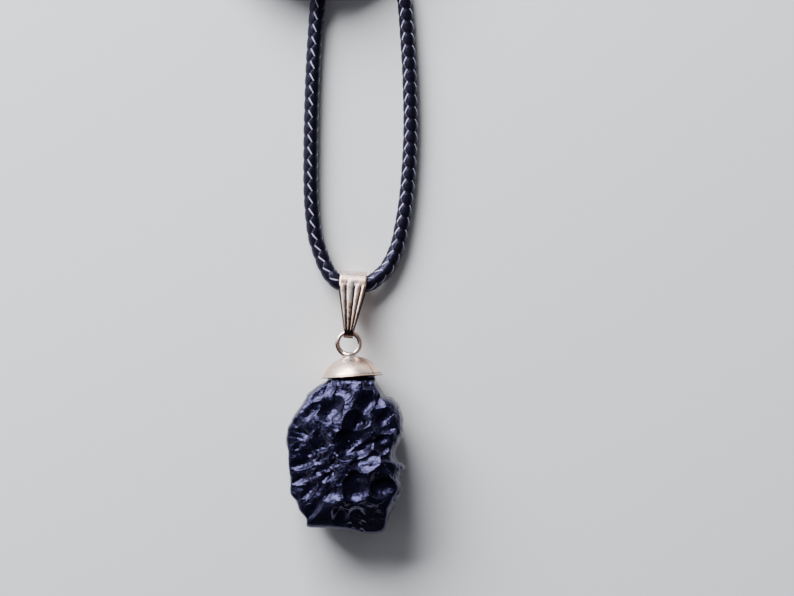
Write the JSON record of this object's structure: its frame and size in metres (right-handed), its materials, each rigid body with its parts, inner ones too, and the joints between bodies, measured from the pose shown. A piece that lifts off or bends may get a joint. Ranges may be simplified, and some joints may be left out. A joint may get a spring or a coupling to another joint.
{
  "type": "tektite pendant",
  "caption": "Black tektite stone in a brass bell cap, hung by its ring from a fluted bail on a waxed cord; lies face up on a flat spot.",
  "frame": {"origin": "on the surface that the pendant lies on, under the middle of the stone, cap and bail taken together", "axes": "+Y runs from the stone up to the bail and the cord, +Z points away from the surface to the pendant's front, +X is to the right seen from the front"},
  "size_m": [0.0284, 0.0967, 0.0096],
  "materials": {
    "black_tektite": "polished",
    "antique_brass": "satin",
    "waxed_cord": "satin"
  },
  "bodies": {
    "bail_and_cord": {"bail": "antique_brass", "cord": "waxed_cord", "cord_coil": "waxed_cord", "cord_knot": "waxed_cord"},
    "pendant": {"tektite": "black_tektite", "bell_cap": "antique_brass"}
  },
  "joints": [
    {"name": "pendant_swing", "type": "hinge", "parent": "bail_and_cord", "child": "pendant", "pos_m": [0.00034, 0.00766, 0.00425], "axis": [0, 0, 1], "range_deg": [-100, 100]}
  ]
}
